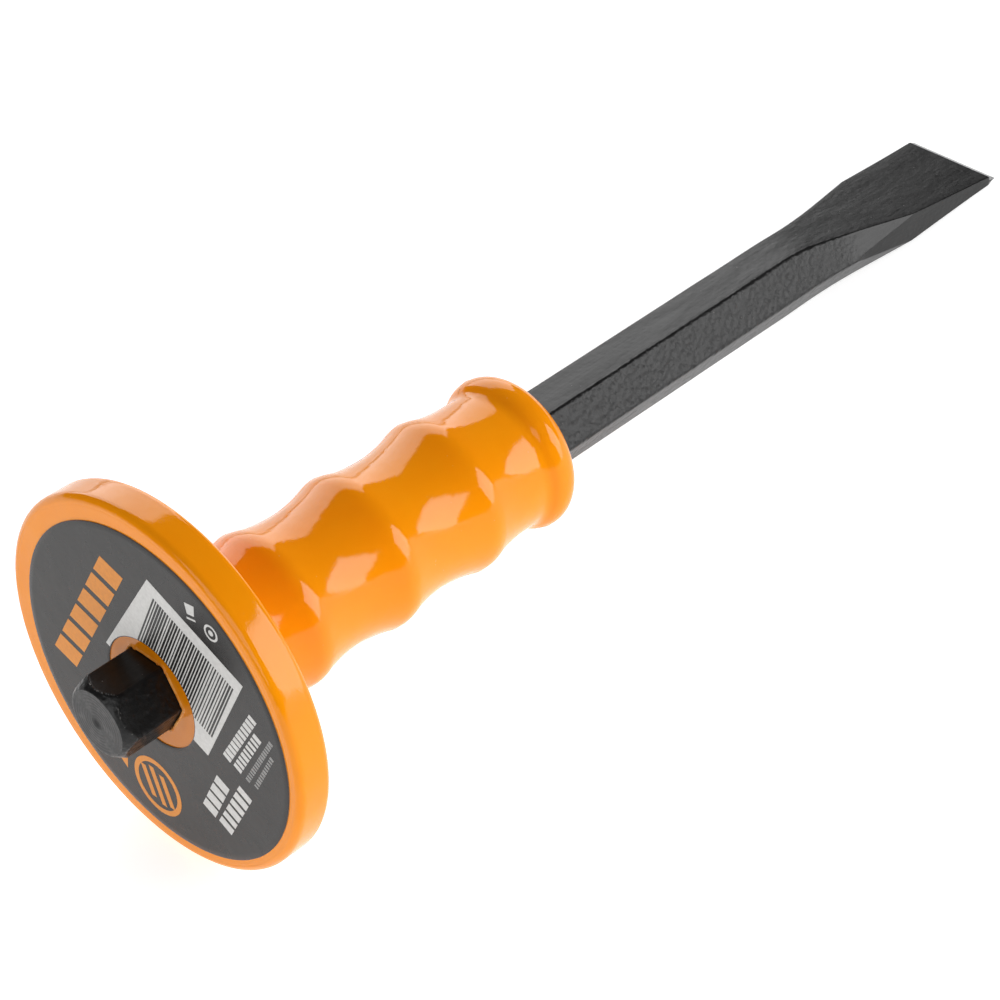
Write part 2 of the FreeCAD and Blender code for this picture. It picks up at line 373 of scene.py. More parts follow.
def bladeShape(x, s):
    # half thickness, corner line and ground side at one place along the steel
    bar = s["acrossFlats"] / 2.0
    corner = bar / math.cos(math.radians(30.0))
    halfEnd = s["edgeThickness"] / 2.0
    bladeX = lay["tipX"] - s["bladeLength"]
    t = (x - bladeX) / (lay["bevelX"] - bladeX)
    sag = 4.0 * s["bladeHollow"] * t * (1.0 - t) if t > 0.0 else 4.0 * s["bladeHollow"] * t
    sloping = bar + (halfEnd - bar) * t - sag
    thick = smoothLeast(bar, sloping, s["shoulderBlend"])
    if x > lay["bevelX"]:
        left = (lay["tipX"] - x) / (lay["tipX"] - lay["bevelX"])
        thick = s["edgeFlat"] / 2.0 + (halfEnd - s["edgeFlat"] / 2.0) * left
    turn = math.atan(s["flareSlope"])
    curl = s["flareRun"] / math.sin(turn)
    along = max(x - bladeX, 0.0)
    if along < s["flareRun"]:
        corner += curl - math.sqrt(curl ** 2 - along ** 2)
    else:
        corner += curl * (1.0 - math.cos(turn)) + (along - s["flareRun"]) * s["flareSlope"]
    rootX = lay["tipX"] - s["groundLength"]
    rootY = bar / math.cos(math.radians(30.0)) + s["groundRoot"]
    slope = (s["edgeWidth"] / 2.0 - rootY) / s["groundLength"]
    side = rootY + (x - rootX) * slope
    back = rootX - x
    if back > s["wheelRadius"] * math.sin(math.radians(s["wheelTurn"])):
        side = math.inf                                 # the wheel didn't reach this far
    elif back > 0.0:
        side = rootY + s["wheelRadius"] - math.sqrt(s["wheelRadius"] ** 2 - back ** 2)
    return thick, corner, side


def steelOutline(x, s):
    # the section's points with how much each belongs to a rolled flank
    thick, corner, side = bladeShape(x, s)
    onBlade = smoothStep(x, lay["tipX"] - 70.0, lay["tipX"] - 46.0)
    rounding = s["barCorner"] + (s["bladeCorner"] - s["barCorner"]) * onBlade
    rounding = min(rounding, 0.85 * thick)
    cos30, sin30 = math.cos(math.radians(30.0)), 0.5
    reach = corner * cos30 - rounding
    topZ = thick - rounding
    topY = (reach - topZ * sin30) / cos30
    sideY = side - rounding
    if sideY < topY:
        upper = lower = (sideY, topZ)
    else:
        upper = (topY, topZ)
        lowerZ = (reach - sideY * cos30) / sin30
        lower = (sideY, lowerZ) if lowerZ > 0.0 else (reach / cos30, 0.0)
    rolled = 1.0 - smoothStep(x, lay["tipX"] - 62.0, lay["tipX"] - 50.0)
    quarter = []
    for i in range(9):                                  # flat, from its middle
        quarter.append((upper[0] * i / 9.0, thick, 0.0))
    for i in range(7):                                  # upper corner
        turn = math.radians(90.0 - 60.0 * i / 6.0)
        quarter.append((upper[0] + rounding * math.cos(turn), upper[1] + rounding * math.sin(turn),
                        rolled * i / 6.0))
    for i in range(1, 10):                              # flank
        y = upper[0] + (lower[0] - upper[0]) * i / 10.0
        z = upper[1] + (lower[1] - upper[1]) * i / 10.0
        quarter.append((y + rounding * cos30, z + rounding * sin30, rolled))
    for i in range(5):                                  # side corner
        turn = math.radians(30.0 - 30.0 * i / 4.0)
        quarter.append((lower[0] + rounding * math.cos(turn), lower[1] + rounding * math.sin(turn), rolled))
    for i in range(1, 4):                               # ground side, to its middle
        quarter.append((lower[0] + rounding, lower[1] * (1.0 - i / 3.0), rolled * 0.8))
    quarter[0] = (0.0, thick, 0.0)
    right = quarter + [(y, -z, f) for y, z, f in reversed(quarter[:-1])]
    return right + [(-y, z, f) for y, z, f in reversed(right[1:-1])]


def makeChisel(s):
    stations = [lay["headX"] + d for d in (0.0, 0.04, 0.1, 0.18, 0.28, 0.4, 0.55, 0.75, 0.95, 1.2, 1.5, 1.8,
                                           2.1, 2.4, 2.7, 2.95, 3.2, 3.6, 4.2, 5.0)]
    while stations[-1] < lay["bevelX"] - 1.0:
        stations.append(stations[-1] + (s["step"] if stations[-1] < 200.0 else 0.7))
    stations[-1] = lay["bevelX"] - 0.12
    bevelRun = lay["tipX"] - lay["bevelX"]
    stations += [lay["bevelX"] + bevelRun * t for t in (0.0, 0.04, 0.2, 0.4, 0.6, 0.8, 0.93, 1.0)]
    faceRadius = s["acrossFlats"] / 2.0 - s["faceInset"]
    rings, flank, wear = [], [], []
    for x in stations:
        back = x - lay["headX"]
        limit = faceRadius + back * math.tan(math.radians(s["headChamfer"]))
        if back < s["faceEdge"]:
            limit -= 0.4 * s["faceEdge"] * (1.0 - math.sqrt(1.0 - (1.0 - back / s["faceEdge"]) ** 2))
        ring = []
        for y, z, rolled in steelOutline(x, s):
            out = math.hypot(y, z)
            onChamfer = out > limit
            if onChamfer:
                y, z = y * limit / out, z * limit / out
            lump = noise.noise(Vector((x * 0.09, y * 0.35, z * 0.35 + 40.0)))
            uneven = s["forgingWobble"] * smoothStep(lay["bevelX"] - x, 0.0, 8.0)
            sink = 1.0 - uneven * (0.5 + 0.5 * lump) / max(out, 3.0)
            ring.append((x, y * sink, z * sink))
            flank.append(0.55 if onChamfer else rolled)
            nearChamfer = 1.0 - smoothStep(abs(out - limit), 0.0, 0.55)
            edgeEnd = smoothStep(x, lay["bevelX"] - 2.2, lay["bevelX"] - 0.1)
            wear.append(max(0.62 * nearChamfer if back < 4.5 else 0.0, 0.3 * edgeEnd))
        rings.append(ring)
    verts = [v for ring in rings for v in ring]
    faces = skin(rings)
    count = len(rings[0])
    flatness = [abs(z) > 0.3 for x, y, z in rings[-9]]
    kinds = []                                          # 0 painted, 1 struck face, 2 ground bevel
    for f in faces:
        onBevel = verts[f[0]][0] > lay["bevelX"] - 0.05
        kinds.append(2 if onBevel and flatness[f[0] % count] and flatness[f[1] % count] else 0)
    half = count // 2                                   # close the cutting edge, upper side to lower side
    last = (len(rings) - 1) * count
    for i in range(half // 2):
        for a, b in ((i, i + 1), (-i, -i - 1)):
            faces.append(tuple(last + k % count for k in (a, b, half - b, half - a)))
            kinds.append(2)
    rim = rings[0]                                      # close the struck face with rings down to its pit
    previous = list(range(count))
    for share in (0.97, 0.9, 0.78, 0.64, 0.5, 0.36, 0.24, 0.14, 0.09):
        start = len(verts)
        pit = s["centrePit"] * (1.0 - smoothStep(share, 0.07, 0.17))
        for x, y, z in rim:
            verts.append((x + pit - 0.04 * (1.0 - share), y * share, z * share))
            flank.append(0.0)
            wear.append(0.0)
        current = list(range(start, start + count))
        for i in range(count):
            j = (i + 1) % count
            faces.append((previous[i], previous[j], current[j], current[i]))
            kinds.append(1)
        previous = current
    verts.append((rim[0][0] + s["centrePit"] * 1.1, 0.0, 0.0))
    flank.append(0.0)
    wear.append(0.0)
    for i in range(count):
        faces.append((previous[i], previous[(i + 1) % count], len(verts) - 1))
        kinds.append(1)
    verts = [(max(x, lay["headX"]), y, z) for x, y, z in verts]
    return makePiece("steel_chisel", verts, faces, [blackPaint, struckEnd, groundSteel], 32.0, kinds,
                     {"flank": flank, "wear": wear})


guardSizes = {
    "discRadius": 47.0,
    "discThickness": 9.3,
    "rimRadius": 1.9,
    "neckFillet": 5.0,
    "length": 118.3,
    "ridgeRadius": 19.5,
    "grooveDepth": 2.1,
    "ridgePitch": 27.3,
    "firstRidge": 34.2,
    "ridgeCount": 3,
    "ridgeRounding": 8.0,
    "beadRise": 2.3,
    "beadRounding": 4.8,
    "beadHollow": 4.0,
    "endDome": 2.0,
    "endMargin": 1.8,
    "boreOut": 10.4,             # the bore's corners, from which its rows are measured
    "boreGap": 0.12,
    "lipWidth": 0.5,
    "lipHeight": 0.3,
    "partingTurn": 47.0,         # where the mould's halves met, from +Y towards +Z
    "partingHeight": 0.09,
    "segments": 176,
}


def hexagonRadius(turn, apothem, corner):
    # distance to a hexagon with rounded corners, its flats facing up and down
    fromFlat = (turn - math.pi / 2.0 + math.pi / 6.0) % (math.pi / 3.0) - math.pi / 6.0
    flat = apothem / math.cos(fromFlat)
    fromCorner = math.pi / 6.0 - abs(fromFlat)
    centre = (apothem - corner) / math.cos(math.pi / 6.0)
    inside = corner ** 2 - (centre * math.sin(fromCorner)) ** 2
    if inside <= 0.0:
        return flat
    return min(flat, centre * math.cos(fromCorner) + math.sqrt(inside))


def guardProfile(s):
    # (along, out, follows the bore, sleeve share, ring of painted shade inside the label's hole, lip): the
    # sleeve is drawn uncarved
    floorOut = s["ridgeRadius"] - s["grooveDepth"]
    rows = []
    bore = [(0.9, 0.0), (0.25, 0.02), (-0.12, 0.1), (-0.3, 0.28), (-s["lipHeight"], 0.5), (-0.4, 0.66),
            (-0.22, 0.82), (-0.07, 0.95), (0.0, 1.12), (0.02, 1.4)]
    for x, out in bore:
        onLip = 1.0 if -0.5 < x < -0.02 and out > 0.05 else 0.2
        rows.append((x, s["boreOut"] + out * s["lipWidth"] / 0.9, 1.0, 0.0, 1.0, onLip))
    holeOut = labelSizes["holeRadius"]
    for out in (12.2, 12.7, 13.2, 13.7, 14.2, 15.0, 18.0, 22.0, 27.0, 32.0, 37.0, 40.0, 42.0):
        follow = 1.0 - smoothStep(out, 11.5, 13.4)
        # rows inside the label's hole get the ring of painted shade
        rows.append((0.02, out, follow, 0.0, 1.0 if out < holeOut + 2.0 else 0.0, 0.0))
    edge = s["discRadius"] - s["rimRadius"]
    rows += [(0.02, 43.6, 0, 0, 0, 0), (0.0, edge - 0.55, 0, 0, 0, 0), (0.0, edge - 0.3, 0, 0, 0, 0),
             (0.05, edge - 0.16, 0, 0, 0, 0)]
    rims = arcPoints(s["rimRadius"], edge, s["rimRadius"], 180.0, 90.0, 12)
    rims += [(s["discThickness"] * t, s["discRadius"]) for t in (0.32, 0.44, 0.56, 0.68)]
    rims += arcPoints(s["discThickness"] - s["rimRadius"], edge, s["rimRadius"], 90.0, 0.0, 12)
    rims += [(s["discThickness"], out) for out in (44.6, 42.0, 38.0, 34.0, 30.0, 27.5, 25.2)]
    rows += [(x, out, 0, 0, 0, 0) for x, out in rims]
    neck = arcPoints(s["discThickness"] + s["neckFillet"], floorOut + s["neckFillet"], s["neckFillet"],
                     180.0, 270.0, 12)
    rows += [(x, out + s["grooveDepth"], 0, 1.0, 0, 0) for x, out in neck]
    beadX = s["length"] - s["endDome"] - s["beadRounding"]
    beadOut = floorOut + s["beadRise"] - s["beadRounding"]
    hollowOut = floorOut + s["beadHollow"]
    both = s["beadHollow"] + s["beadRounding"]
    hollowX = beadX - math.sqrt(both ** 2 - (hollowOut - beadOut) ** 2)
    meetTurn = math.degrees(math.atan2(hollowOut - beadOut, hollowX - beadX))
    x = s["discThickness"] + s["neckFillet"] + 0.8
    while x < hollowX - 0.5:
        rows.append((x, s["ridgeRadius"], 0, 1.0, 0, 0))
        x += 0.8
    hollow = arcPoints(hollowX, hollowOut, s["beadHollow"], -90.0, meetTurn - 180.0, 8)
    bead = arcPoints(beadX, beadOut, s["beadRounding"], meetTurn, 0.0, 22)
    rows += [(x, out + s["grooveDepth"], 0, 1.0, 0, 0) for x, out in hollow + bead[1:]]
    endOut = s["boreOut"] + s["endMargin"]
    for t in (0.12, 0.3, 0.5, 0.7, 0.85, 0.95):
        out = bead[-1][1] + (endOut - bead[-1][1]) * t
        x = s["length"] - s["endDome"] * (1.0 - t) ** 1.6
        rows.append((x, out, 1.0 - smoothStep(out, 11.6, 12.8), 0.0, 0, 0))
    for back, out, onLip in ((0.0, 1.2, 0.0), (0.02, 0.5, 0.35), (0.25, 0.08, 0.5), (1.2, 0.0, 0.2)):
        rows.append((s["length"] - back, s["boreOut"] + out, 1.0, 0.0, 0, onLip))
    return rows


def guardAngles(s):
    turns = [360.0 * i / s["segments"] for i in range(s["segments"])]
    for parting in (s["partingTurn"], s["partingTurn"] + 180.0):
        turns = [t for t in turns if abs(t - parting) > 1.7]
        turns += [parting + d for d in (-1.6, -1.0, -0.6, -0.35, -0.15, 0.0, 0.15, 0.35, 0.6, 1.0, 1.6)]
    return sorted(turns)


def startTree(name, inputs):
    tree = bpy.data.node_groups.new(name, "GeometryNodeTree")
    tree.interface.new_socket(name="Geometry", in_out="INPUT", socket_type="NodeSocketGeometry")
    for label, (kind, value) in inputs.items():
        socket = tree.interface.new_socket(name=label, in_out="INPUT", socket_type=kind)
        if value is not None:
            socket.default_value = value
    tree.interface.new_socket(name="Geometry", in_out="OUTPUT", socket_type="NodeSocketGeometry")
    entry = tree.nodes.new("NodeGroupInput")
    return tree, {socket.name: Wire(socket) for socket in entry.outputs if socket.name}


def endTree(tree, geometry, finish):
    real = geometry.node("GeometryNodeRealizeInstances", None, {0: geometry})
    clad = real.node("GeometryNodeSetMaterial", None, {"Geometry": real, "Material": finish})
    leave = tree.nodes.new("NodeGroupOutput")
    tree.links.new(clad.socket, leave.inputs[0])


def runTree(piece, tree, values):
    # the tree's result as a plain mesh, inputs set by their identifiers
    modifier = piece.modifiers.new(tree.name, "NODES")
    modifier.node_group = tree
    known = {item.name: item.identifier for item in tree.interface.items_tree if item.in_out == "INPUT"}
    for label, value in values.items():
        modifier[known[label]] = value
    evaluated = piece.evaluated_get(bpy.context.evaluated_depsgraph_get())
    mesh = bpy.data.meshes.new_from_object(evaluated)
    piece.modifiers.remove(modifier)
    return mesh


def fingerGrooveTree(s):
    # carves the finger grooves: ridges and grooves are arcs that meet smoothly, one ridge a pitch
    tree, given = startTree("fingerGrooves", {
        "Ridge radius": ("NodeSocketFloat", s["ridgeRadius"] * mm),
        "Groove depth": ("NodeSocketFloat", s["grooveDepth"] * mm),
        "Ridge pitch": ("NodeSocketFloat", s["ridgePitch"] * mm),
        "First ridge": ("NodeSocketFloat", s["firstRidge"] * mm),
        "Ridge count": ("NodeSocketInt", s["ridgeCount"]),
        "Ridge rounding": ("NodeSocketFloat", s["ridgeRounding"] * mm),
        "Finish": ("NodeSocketMaterial", None),
    })
    shape = given["Geometry"]
    depth, pitch, rounding = given["Groove depth"], given["Ridge pitch"], given["Ridge rounding"]
    where = shape.node("GeometryNodeInputPosition")
    share = shape.node("GeometryNodeInputNamedAttribute", {"data_type": "FLOAT"}, {"Name": "sleeve"})
    halfPitch = pitch / 2.0
    steps = ((where.part(0) - given["First ridge"]) / pitch).most(-0.5).least(given["Ridge count"] - 0.5)
    nearest = steps.node("ShaderNodeMath", {"operation": "ROUND"}, {0: steps})
    away = abs(steps - nearest) * pitch
    both = (halfPitch * halfPitch + depth * depth) / (2.0 * depth)
    grooveRounding = both - rounding
    onRidge = away < halfPitch * rounding / both
    overRidge = rounding - (rounding * rounding - away * away).most(0.0).root()
    rest = halfPitch - away
    inGroove = depth - grooveRounding + (grooveRounding * grooveRounding - rest * rest).most(0.0).root()
    carved = onRidge * overRidge + (1 - onRidge) * inGroove
    out = (where.part(1) ** 2.0 + where.part(2) ** 2.0).root()
    pull = (out - carved * share) / out
    moved = where.node("ShaderNodeCombineXYZ", None,
                       {0: where.part(0), 1: where.part(1) * pull, 2: where.part(2) * pull})
    carvedShape = shape.node("GeometryNodeSetPosition", None, {"Geometry": shape, "Position": moved})
    endTree(tree, carvedShape, given["Finish"])
    return tree


def makeGuard(s):
    turns = guardAngles(s)
    profile = guardProfile(s)
    bore = chiselSizes["acrossFlats"] / 2.0 + s["boreGap"]
    verts, sleeve, ring, lip, parting = [], [], [], [], []
    for x, out, follow, share, paintedShadeMask, lipMask in profile:
        for degrees in turns:
            turn = math.radians(degrees)
            hexagon = hexagonRadius(turn, bore, chiselSizes["barCorner"]) + (out - s["boreOut"])
            radius = hexagon * follow + out * (1.0 - follow)
            offLine = min(abs((degrees - s["partingTurn"] + 90.0) % 180.0 - 90.0), 9.0)
            onLine = (1.0 - smoothStep(offLine, 0.15, 0.7)) if x > 1.0 and follow < 0.5 else 0.0
            raised = s["partingHeight"] * onLine * (0.7 + 0.3 * noise.noise(Vector((x * 0.2, degrees, 0.0))))
            ragged = 0.0
            if lipMask > 0.5:
                ragged = 0.09 * noise.noise(Vector((math.cos(turn) * 3.0, math.sin(turn) * 3.0, x)))
            radius += (raised if 12.0 < out < s["discRadius"] - 0.2 else 0.0) + ragged * 1.4
            verts.append((x + ragged * 0.6, radius * math.cos(turn), radius * math.sin(turn)))
            sleeve.append(share)
            ring.append(paintedShadeMask)
            lip.append(lipMask)
            parting.append(onLine)
    count = len(turns)
    rings = [verts[i:i + count] for i in range(0, len(verts), count)]
    faces = skin(rings)
    last = len(verts) - count
    faces += [(last + i, last + (i + 1) % count, (i + 1) % count, i) for i in range(count)]   # bore wall
    blankMesh = bpy.data.meshes.new("guardBlank")
    blankMesh.from_pydata([Vector(v) * mm for v in verts], [], faces)
    # the ring attribute carries the painted shade inside the label's hole
    for name, values in (("sleeve", sleeve), ("ring", ring), ("lip", lip), ("parting", parting)):
        blankMesh.attributes.new(name, "FLOAT", "POINT").data.foreach_set("value", values)
    blank = linkPiece("guardBlank", blankMesh)
    mesh = runTree(blank, fingerGrooveTree(s), {"Finish": orangeVinyl})
    bpy.data.objects.remove(blank)
    mesh.name = "hand_guard_moulding"
    tidyFaces(mesh, 50.0)
    mesh.transform(lay["matrix"])
    return linkPiece("hand_guard_moulding", mesh)


labelSizes = {
    "radius": 42.2,
    "centre": (-1.5, -0.5),
    "holeRadius": 13.9,
    "holeCentre": (-0.2, -1.2),
    "thickness": 0.25,
    "edgeRound": 0.07,
    "segments": 168,
    "inkHeight": 0.02,
}

# rows of blocks on the label: start and end of each row in (Y, Z), then count, height, widths and seed
printRows = {
    "mark": {"from": (7.2, 31.0), "to": (30.2, -8.5),
             "count": 6, "height": 7.4, "widths": (5.9, 5.9), "slant": 0.22, "seed": 1},
    "largeFirst": {"from": (-15.4, -26.8), "to": (-21.9, -13.7),
                   "count": 4, "height": 4.3, "widths": (2.7, 2.9), "slant": 0.0, "seed": 3},
    "largeSecond": {"from": (-20.4, -28.8), "to": (-29.4, -12.0),
                    "count": 6, "height": 4.3, "widths": (2.0, 2.6), "slant": 0.0, "seed": 4},
    "boldFirst": {"from": (-23.8, -5.8), "to": (-34.5, 12.4),
                  "count": 11, "height": 2.5, "widths": (1.1, 1.7), "slant": 0.0, "seed": 5},
    "boldSecond": {"from": (-27.0, -7.0), "to": (-35.4, 7.6),
                   "count": 9, "height": 2.5, "widths": (1.0, 1.6), "slant": 0.0, "seed": 6},
    "fineFirst": {"from": (-30.2, -8.2), "to": (-39.6, 8.6),
                  "count": 17, "height": 1.3, "widths": (0.6, 0.95), "slant": 0.0, "seed": 7},
    "fineSecond": {"from": (-32.8, -8.6), "to": (-39.4, 4.1),
                   "count": 12, "height": 1.2, "widths": (0.6, 0.95), "slant": 0.0, "seed": 8},
}

barPanel = {
    "corners": ((-4.0, 32.9), (-32.2, 19.9), (-17.6, -8.8), (13.9, 5.1)),
    "from": (-5.2, 28.6),
    "to": (-29.2, 17.1),
    "count": 34,
    "height": 21.5,
    "widths": (0.22, 0.66),
    "seed": 11,
}

# the label's emblem and icons, all placed in (Y, Z) on the label
labelArt = {
    "emblem": (2.2, -30.6),
    "emblemRing": (7.9, 6.5),
    "strokes": (-3.1, 0.0, 3.1),
    "strokeReach": 5.4,
    "strokeHalf": 0.8,
    "strokeLean": 0.1,
    "pointer": ((12.0, -27.0), (15.8, -28.6), (12.6, -31.6)),
    "dial": (-23.6, 29.4),
    "dialRing": (2.1, 1.55),
    "dialDot": 0.75,
    "plates": (((-18.6, 31.0), (-16.4, 30.6), (-15.8, 33.4), (-18.9, 33.9)),
               ((-18.9, 30.2), (-16.1, 29.7), (-16.2, 29.2), (-19.0, 29.7))),
}


def circlePoints(centre, radius, segments, fromTurn=0.0, toTurn=360.0):
    whole = abs(toTurn - fromTurn) >= 360.0
    points = []
    for i in range(segments if whole else segments + 1):
        turn = math.radians(fromTurn + (toTurn - fromTurn) * i / segments)
        points.append((centre[0] + radius * math.cos(turn), centre[1] + radius * math.sin(turn)))
    return points


def makeLabel(s):
    front = -s["thickness"]
    soft = s["edgeRound"]
    rows = [(0.0, 0.0, 0.0), (front + soft, 0.0, 0.0), (front + 0.3 * soft, 0.0, 0.3 * soft),
            (front, 0.0, soft)]
    rows += [(front, t, soft * (1.0 - 2.0 * t)) for t in (0.03, 0.1, 0.25, 0.4, 0.55, 0.7, 0.85, 0.95)]
    rows += [(front, 1.0, -soft), (front + 0.3 * soft, 1.0, -0.3 * soft), (front + soft, 1.0, 0.0),
             (0.0, 1.0, 0.0)]
    inner = circlePoints(s["holeCentre"], s["holeRadius"], s["segments"])
    outer = circlePoints(s["centre"], s["radius"], s["segments"])
    verts = []
    for x, share, step in rows:
        for (y0, z0), (y1, z1) in zip(inner, outer):
            direction = Vector((y1 - y0, z1 - z0)).normalized()
            verts.append((x, y0 + (y1 - y0) * share + direction.x * step,
                          z0 + (z1 - z0) * share + direction.y * step))
    count = s["segments"]
    rings = [verts[i:i + count] for i in range(0, len(verts), count)]
    faces = skin(rings)
    last = len(verts) - count
    faces += [(last + i, last + (i + 1) % count, (i + 1) % count, i) for i in range(count)]   # stuck side
    return makePiece("label_sheet", verts, faces, [labelFilm], 30.0)


def inkPlate(shapes, outline):
    # a closed slab of ink over an outline in the label's plane
    verts, faces = shapes
    base = -labelSizes["thickness"]
    start = len(verts)
    count = len(outline)
    verts += [(base - labelSizes["inkHeight"], y, z) for y, z in outline]
    verts += [(base, y, z) for y, z in outline]
    faces.append(tuple(range(start, start + count)))
    faces.append(tuple(reversed(range(start + count, start + 2 * count))))
    for i in range(count):
        j = (i + 1) % count
        faces.append((start + i, start + count + i, start + count + j, start + j))


def inkRing(shapes, centre, outer, inner, segments=48):
    # a ring of ink
    verts, faces = shapes
    base = -labelSizes["thickness"]
    start = len(verts)
    for x, radius in ((base, outer), (base - labelSizes["inkHeight"], outer),
                      (base - labelSizes["inkHeight"], inner), (base, inner)):
        verts += [(x, y, z) for y, z in circlePoints(centre, radius, segments)]
    for row in range(4):
        for i in range(segments):
            j = (i + 1) % segments
            following = (row + 1) % 4
            faces.append((start + row * segments + i, start + row * segments + j,
                          start + following * segments + j, start + following * segments + i))


def blockRowTree():
    # a row of blocks of seeded widths, each cut short where the label's hole is in the way
    tree, given = startTree("blockRow", {
        "Count": ("NodeSocketInt", 6),
        "Pitch": ("NodeSocketFloat", 0.007),
        "Height": ("NodeSocketFloat", 0.007),
        "Least width": ("NodeSocketFloat", 0.002),
        "Most width": ("NodeSocketFloat", 0.003),
        "Ink height": ("NodeSocketFloat", 0.00002),
        "Hole along": ("NodeSocketFloat", 1.0),
        "Hole across": ("NodeSocketFloat", 1.0),
        "Hole radius": ("NodeSocketFloat", 0.001),
        "Seed": ("NodeSocketInt", 1),
        "Finish": ("NodeSocketMaterial", None),
    })
    shape = given["Geometry"]
    step = shape.node("ShaderNodeCombineXYZ", None, {0: given["Pitch"]})
    line = shape.node("GeometryNodeMeshLine", {"mode": "OFFSET"}, {"Count": given["Count"], "Offset": step})
    where = shape.node("GeometryNodeInputPosition")
    index = shape.node("GeometryNodeInputIndex")
    width = shape.node("FunctionNodeRandomValue", {"data_type": "FLOAT"},
                       {2: given["Least width"], 3: given["Most width"],
                        "ID": index, "Seed": given["Seed"]}, 1)
    aside = abs(where.part(0) - given["Hole along"])
    near = aside < given["Hole radius"]
    chord = (given["Hole radius"] * given["Hole radius"] - aside * aside).most(0.0).root()
    room = near * (given["Hole across"] - chord) + (1 - near) * 1.0
    length = given["Height"].least(room)
    size = shape.node("ShaderNodeCombineXYZ", None, {0: width, 1: length, 2: given["Ink height"]})
    block = shape.node("GeometryNodeMeshCube", None, {"Size": (1.0, 1.0, 1.0)})
    block = shape.node("GeometryNodeTransform", None, {"Geometry": block, "Translation": (0.0, 0.5, 0.5)})
    copies = shape.node("GeometryNodeInstanceOnPoints", None,
                        {"Points": line, "Instance": block, "Scale": size})
    endTree(tree, copies, given["Finish"])
    return tree


def printRow(name, row, tree, finish, lift=0.0):
    # blocks between two places on the label, leaning by the row's slant
    start, end = Vector(row["from"]), Vector(row["to"])
    along = (end - start).normalized()
    across = Vector((-along.y, along.x))
    hole = Vector(labelSizes["holeCentre"]) - start
    if across.dot(hole) < 0.0 and row.get("cut"):
        across = -across
    pitch = (end - start).length / row["count"]
    offset = start + along * pitch * 0.5
    if not row.get("cut"):
        offset -= across * row["height"] / 2.0
    seedMesh = bpy.data.meshes.new("rowSeed")
    seedMesh.from_pydata([(0.0, 0.0, 0.0)], [], [])
    seed = linkPiece("rowSeed", seedMesh)
    inHole = Vector(labelSizes["holeCentre"]) - offset
    mesh = runTree(seed, tree, {
        "Count": row["count"], "Pitch": pitch * mm, "Height": row["height"] * mm,
        "Least width": row["widths"][0] * mm, "Most width": row["widths"][1] * mm,
        "Ink height": labelSizes["inkHeight"] * mm,
        "Hole along": inHole.dot(along) * mm if row.get("cut") else 1.0,
        "Hole across": inHole.dot(across) * mm, "Hole radius": (labelSizes["holeRadius"] + 0.25) * mm,
        "Seed": row["seed"], "Finish": finish})
    bpy.data.objects.remove(seed)
    lean = across + along * row.get("slant", 0.0)
    base = -labelSizes["thickness"] - lift
    onLabel = Matrix(((0.0, 0.0, -1.0, base * mm), (along.x, lean.x, 0.0, offset.x * mm),
                      (along.y, lean.y, 0.0, offset.y * mm), (0.0, 0.0, 0.0, 1.0)))
    mesh.transform(lay["matrix"] @ onLabel)
    faceOutward(mesh)
    return linkPiece(name, mesh)


def panelOutline(panel, s):
    # the pale panel's outline, cut away around the label's hole
    corners = [Vector(c) for c in panel["corners"]]
    centre, radius = Vector(s["holeCentre"]), s["holeRadius"] + 0.25
    start, end = corners[2], corners[3]
    along = (end - start).normalized()
    nearest = (centre - start).dot(along)
    off = (start + along * nearest - centre).length
    reach = math.sqrt(radius ** 2 - off ** 2)
    first, second = start + along * (nearest - reach), start + along * (nearest + reach)
    firstTurn = math.degrees(math.atan2(*(reversed(first - centre))))
    secondTurn = math.degrees(math.atan2(*(reversed(second - centre))))
    if firstTurn < secondTurn:
        firstTurn += 360.0
    arc = circlePoints(centre, radius, 30, firstTurn, secondTurn)
    return [tuple(c) for c in corners[:3]] + arc + [tuple(corners[3])]

def makeEmblem(s):
    # a ring with leaning strokes, and a small pointer beside it
    shapes = ([], [])
    y, z = s["emblem"]
    inkRing(shapes, s["emblem"], *s["emblemRing"])
    for shift in s["strokes"]:
        tall = math.sqrt(s["strokeReach"] ** 2 - shift ** 2) * 0.94
        middle, wide, lean = y + shift, s["strokeHalf"], tall * 0.3
        inkPlate(shapes, [(middle - wide - s["strokeLean"] - lean, z - tall),
                          (middle + wide - s["strokeLean"] - lean, z - tall),
                          (middle + wide + s["strokeLean"] + lean, z + tall),
                          (middle - wide + s["strokeLean"] + lean, z + tall)])
    inkPlate(shapes, s["pointer"])
    return makePiece("label_emblem", *shapes, [markInk], 30.0)


def makeIcons(s):
    shapes = ([], [])
    inkRing(shapes, s["dial"], *s["dialRing"], 28)
    inkPlate(shapes, circlePoints(s["dial"], s["dialDot"], 14))
    for outline in s["plates"]:
        inkPlate(shapes, outline)
    return makePiece("label_icons", *shapes, [paleInk], 30.0)


def makePanel(panel):
    shapes = ([], [])
    inkPlate(shapes, panelOutline(panel, labelSizes))
    return makePiece("label_panel", *shapes, [paleInk], 30.0)


def rowInk(name):
    if name == "mark":
        return markInk
    return fineInk if name.startswith("fine") else paleInk


def makePrint():
    pieces = [makeEmblem(labelArt), makeIcons(labelArt), makePanel(barPanel)]
    rowTree = blockRowTree()
    for name, row in printRows.items():
        pieces.append(printRow("label_row_" + name, row, rowTree, rowInk(name)))
    bars = dict(barPanel, cut=True)
    pieces.append(printRow("label_bars", bars, rowTree, barInk, labelSizes["inkHeight"]))
    return pieces


lay = restingPlace(chiselSizes, guardSizes)
print("tool laid at", [round(v, 4) for v in lay["base"]], "tilted", round(math.degrees(lay["tilt"]), 2))

